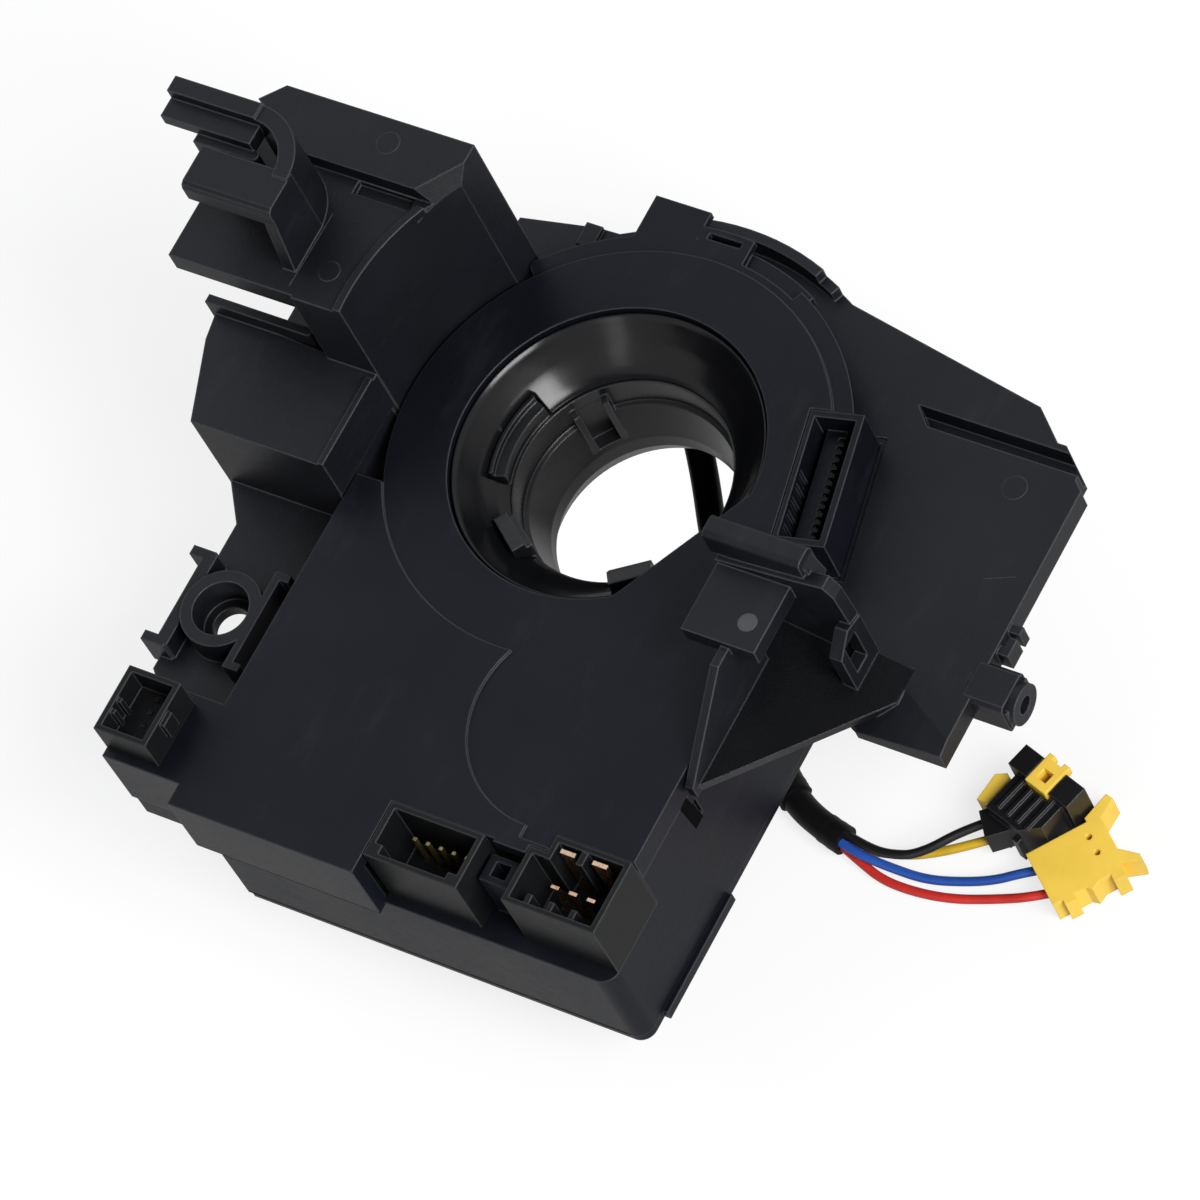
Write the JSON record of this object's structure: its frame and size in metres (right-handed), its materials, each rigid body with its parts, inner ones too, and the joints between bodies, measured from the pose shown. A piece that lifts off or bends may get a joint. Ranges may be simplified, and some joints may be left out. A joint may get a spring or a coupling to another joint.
{
  "type": "steering clock spring",
  "caption": "Steering clock spring: ribbon cassette with funnel bore, electronics case with sockets, bracket frame and airbag harness.",
  "frame": {"origin": "on the steering axis, in the middle of the narrowest part of the bore", "axes": "+Z along the steering axis out of that face, towards the column; +X towards the bracket and the plugs; the electronics case lies towards -Y"},
  "size_m": [0.1783, 0.1315, 0.0964],
  "materials": {
    "housing_black": "fine textured moulding",
    "carrier_black": "fine textured moulding",
    "gloss_black": "polished moulding",
    "rotor_black": "smooth moulding",
    "contact_metal": "bright plated contacts",
    "board_green": "solder resist",
    "chip_black": "moulded package",
    "screw_steel": "zinc plated",
    "ribbon_film": "polyester film",
    "sleeve_black": "satin sleeve",
    "wire_yellow": "satin insulation",
    "wire_black": "satin insulation",
    "wire_blue": "satin insulation",
    "wire_red": "satin insulation",
    "plug_black": "smooth moulding",
    "plug_yellow": "smooth moulding"
  },
  "bodies": {
    "housing": {"back_cover": "housing_black", "unit_case": "housing_black", "front_cover": "housing_black", "cover_screws": "screw_steel", "circuit_board": "board_green", "board_chips": "chip_black", "left_header": "housing_black", "left_header_pins": "contact_metal", "middle_header": "housing_black", "middle_header_pins": "contact_metal", "right_header": "housing_black", "right_header_pins": "contact_metal", "power_blades": "contact_metal", "comb_connector": "housing_black", "comb_contacts": "contact_metal", "cassette_housing": "housing_black", "ribbon_coil": "ribbon_film", "ribbon_terminal": "housing_black", "sensor_block": "chip_black", "carrier_frame": "carrier_black"},
    "rotor": {"rotor_collar": "gloss_black", "code_disc": "gloss_black", "rotor_hub": "rotor_black", "cable_gland": "rotor_black", "cable_sleeve": "sleeve_black", "wire_yellow": "wire_yellow", "wire_black": "wire_black", "wire_blue": "wire_blue", "wire_red": "wire_red", "airbag_plug": "plug_black", "plug_clip": "plug_yellow", "horn_plug": "plug_yellow"},
    "slide_lock": {"plug_lock": "plug_yellow"}
  },
  "joints": [
    {"name": "rotor_turn", "type": "hinge", "parent": "housing", "child": "rotor", "pos_m": [0, 0, 0], "axis": [0, 0, 1], "range_deg": [-900, 900]},
    {"name": "lock_slide", "type": "slide", "parent": "rotor", "child": "slide_lock", "axis": [0.2924, 0.9563, 0], "range_m": [0, 0.0018]}
  ]
}
